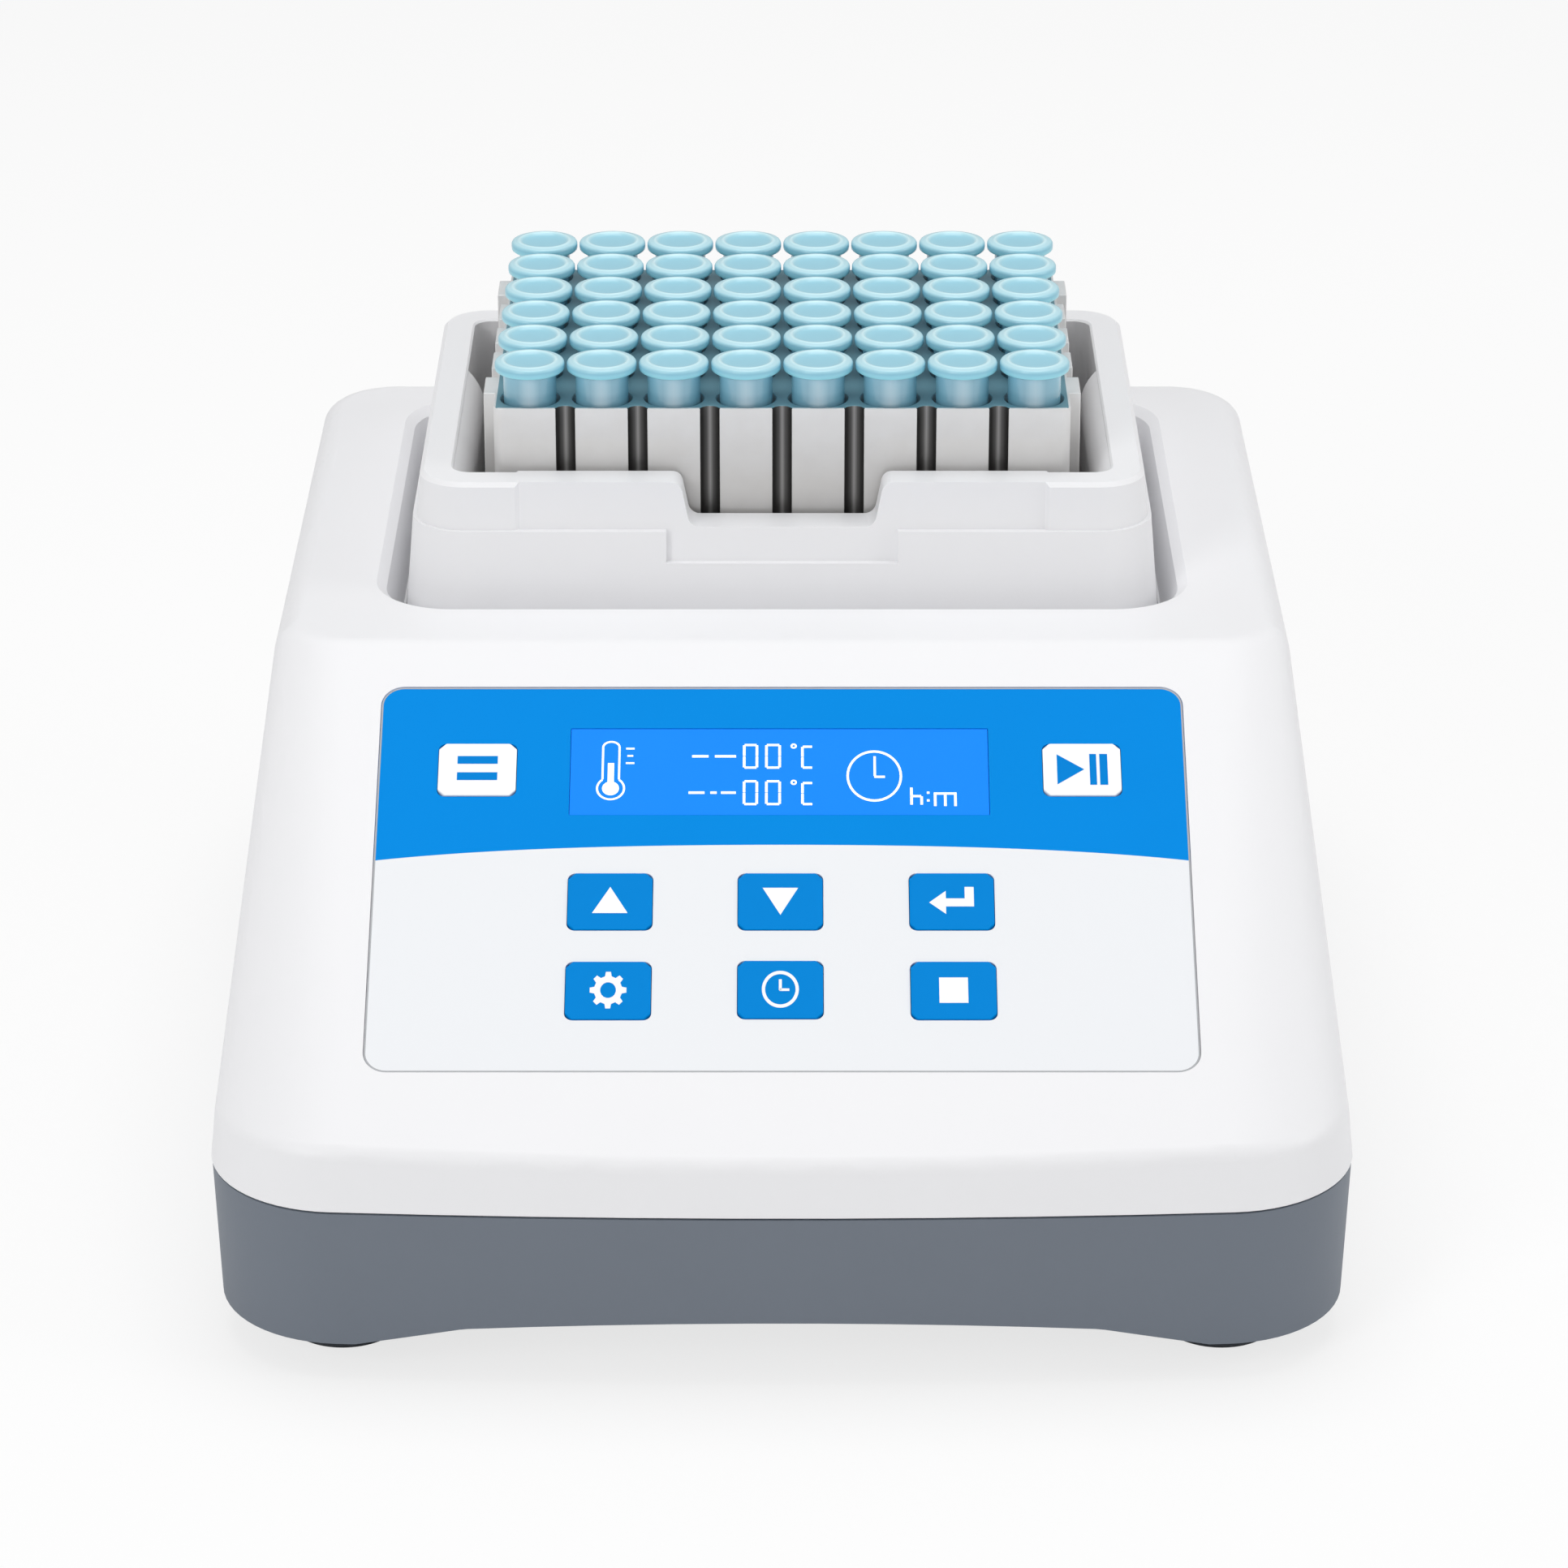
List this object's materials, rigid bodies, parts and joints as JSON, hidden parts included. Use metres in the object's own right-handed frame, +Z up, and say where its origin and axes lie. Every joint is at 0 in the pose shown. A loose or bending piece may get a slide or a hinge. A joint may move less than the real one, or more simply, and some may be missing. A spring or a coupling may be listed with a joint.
{
  "type": "dry bath incubator",
  "caption": "White bench-top dry bath incubator with a sloped blue key panel and a grooved aluminium block full of blue lidded tubes.",
  "frame": {"origin": "on the bench under the middle of the housing", "axes": "+X to the right seen from the front, +Y towards the rear panel, +Z up"},
  "size_m": [0.21, 0.2614, 0.1484],
  "materials": {
    "white_plastic": "fine moulded texture",
    "grey_plastic": "fine moulded texture",
    "rubber": "matt",
    "aluminium": "machined and anodised",
    "sheet_steel": "plain zinc finish",
    "screw_steel": "zinc plated",
    "film": "printed film, blue above and white below",
    "display": "lit blue display behind a clear lens",
    "module": "plain",
    "white_key": "smooth",
    "blue_key": "smooth",
    "circuit_board": "solder mask",
    "black_plastic": "fine moulded texture",
    "silicone": "smooth",
    "insulation": "pressed fibre board",
    "brass": "plain",
    "fuse_glass": "clear",
    "tube_plastic": "clear plastic with blue liquid",
    "lid_plastic": "translucent blue plastic"
  },
  "bodies": {
    "housing": {"base_tray": "grey_plastic", "top_cover": "white_plastic", "block_collar": "white_plastic", "heating_plate": "aluminium", "heater_mat": "silicone", "insulation_board": "insulation", "carrier_frame": "sheet_steel", "temperature_sensor": "sheet_steel", "thermal_cutout": "sheet_steel", "control_overlay": "film", "lcd_window": "display", "lcd_module": "module", "key_board": "circuit_board", "key_switches": "black_plastic", "main_board": "circuit_board", "power_supply": "sheet_steel", "power_inlet": "black_plastic", "inlet_blades": "brass", "rocker_body": "black_plastic", "foot_screws": "screw_steel", "cover_screws": "screw_steel", "carrier_screws": "screw_steel", "board_screws": "screw_steel", "foot_front_left": "rubber", "foot_front_right": "rubber", "foot_rear_left": "rubber", "foot_rear_right": "rubber"},
    "heating_block": {"heating_block": "aluminium"},
    "power_rocker": {"power_rocker": "black_plastic"},
    "fuse_drawer": {"fuse_drawer": "black_plastic", "fuses": "fuse_glass"},
    "key_menu": {"key_menu": "white_key"},
    "key_start_pause": {"key_start_pause": "white_key"},
    "key_up": {"key_up": "blue_key"},
    "key_down": {"key_down": "blue_key"},
    "key_enter": {"key_enter": "blue_key"},
    "key_settings": {"key_settings": "blue_key"},
    "key_timer": {"key_timer": "blue_key"},
    "key_stop": {"key_stop": "blue_key"},
    "tube_row_1": {"tubes_row_1": "tube_plastic", "lids_row_1": "lid_plastic"},
    "tube_row_2": {"tubes_row_2": "tube_plastic", "lids_row_2": "lid_plastic"},
    "tube_row_3": {"tubes_row_3": "tube_plastic", "lids_row_3": "lid_plastic"},
    "tube_row_4": {"tubes_row_4": "tube_plastic", "lids_row_4": "lid_plastic"},
    "tube_row_5": {"tubes_row_5": "tube_plastic", "lids_row_5": "lid_plastic"},
    "tube_row_6": {"tubes_row_6": "tube_plastic", "lids_row_6": "lid_plastic"}
  },
  "joints": [
    {"name": "key_menu_press", "type": "slide", "parent": "housing", "child": "key_menu", "axis": [0, 0.5027, -0.8644], "range_m": [0, 0.0005], "stiffness_N_per_m": 500},
    {"name": "key_start_pause_press", "type": "slide", "parent": "housing", "child": "key_start_pause", "axis": [0, 0.5027, -0.8644], "range_m": [0, 0.0005], "stiffness_N_per_m": 500},
    {"name": "key_up_press", "type": "slide", "parent": "housing", "child": "key_up", "axis": [0, 0.5027, -0.8644], "range_m": [0, 0.0005], "stiffness_N_per_m": 500},
    {"name": "key_down_press", "type": "slide", "parent": "housing", "child": "key_down", "axis": [0, 0.5027, -0.8644], "range_m": [0, 0.0005], "stiffness_N_per_m": 500},
    {"name": "key_enter_press", "type": "slide", "parent": "housing", "child": "key_enter", "axis": [0, 0.5027, -0.8644], "range_m": [0, 0.0005], "stiffness_N_per_m": 500},
    {"name": "key_settings_press", "type": "slide", "parent": "housing", "child": "key_settings", "axis": [0, 0.5027, -0.8644], "range_m": [0, 0.0005], "stiffness_N_per_m": 500},
    {"name": "key_timer_press", "type": "slide", "parent": "housing", "child": "key_timer", "axis": [0, 0.5027, -0.8644], "range_m": [0, 0.0005], "stiffness_N_per_m": 500},
    {"name": "key_stop_press", "type": "slide", "parent": "housing", "child": "key_stop", "axis": [0, 0.5027, -0.8644], "range_m": [0, 0.0005], "stiffness_N_per_m": 500},
    {"name": "power_rocker_hinge", "type": "hinge", "parent": "housing", "child": "power_rocker", "pos_m": [-0.014, 0.12878, 0.05616], "axis": [1, 0, 0], "range_deg": [0, 14]},
    {"name": "fuse_drawer_slide", "type": "slide", "parent": "housing", "child": "fuse_drawer", "axis": [0, 0.9945, 0.1045], "range_m": [0, 0.02]},
    {"name": "heating_block_lift", "type": "slide", "parent": "housing", "child": "heating_block", "axis": [0, 0, 1], "range_m": [0, 0.05]},
    {"name": "tube_row_1_lift", "type": "slide", "parent": "heating_block", "child": "tube_row_1", "axis": [0, 0, 1], "range_m": [0, 0.04]},
    {"name": "tube_row_2_lift", "type": "slide", "parent": "heating_block", "child": "tube_row_2", "axis": [0, 0, 1], "range_m": [0, 0.04]},
    {"name": "tube_row_3_lift", "type": "slide", "parent": "heating_block", "child": "tube_row_3", "axis": [0, 0, 1], "range_m": [0, 0.04]},
    {"name": "tube_row_4_lift", "type": "slide", "parent": "heating_block", "child": "tube_row_4", "axis": [0, 0, 1], "range_m": [0, 0.04]},
    {"name": "tube_row_5_lift", "type": "slide", "parent": "heating_block", "child": "tube_row_5", "axis": [0, 0, 1], "range_m": [0, 0.04]},
    {"name": "tube_row_6_lift", "type": "slide", "parent": "heating_block", "child": "tube_row_6", "axis": [0, 0, 1], "range_m": [0, 0.04]}
  ]
}
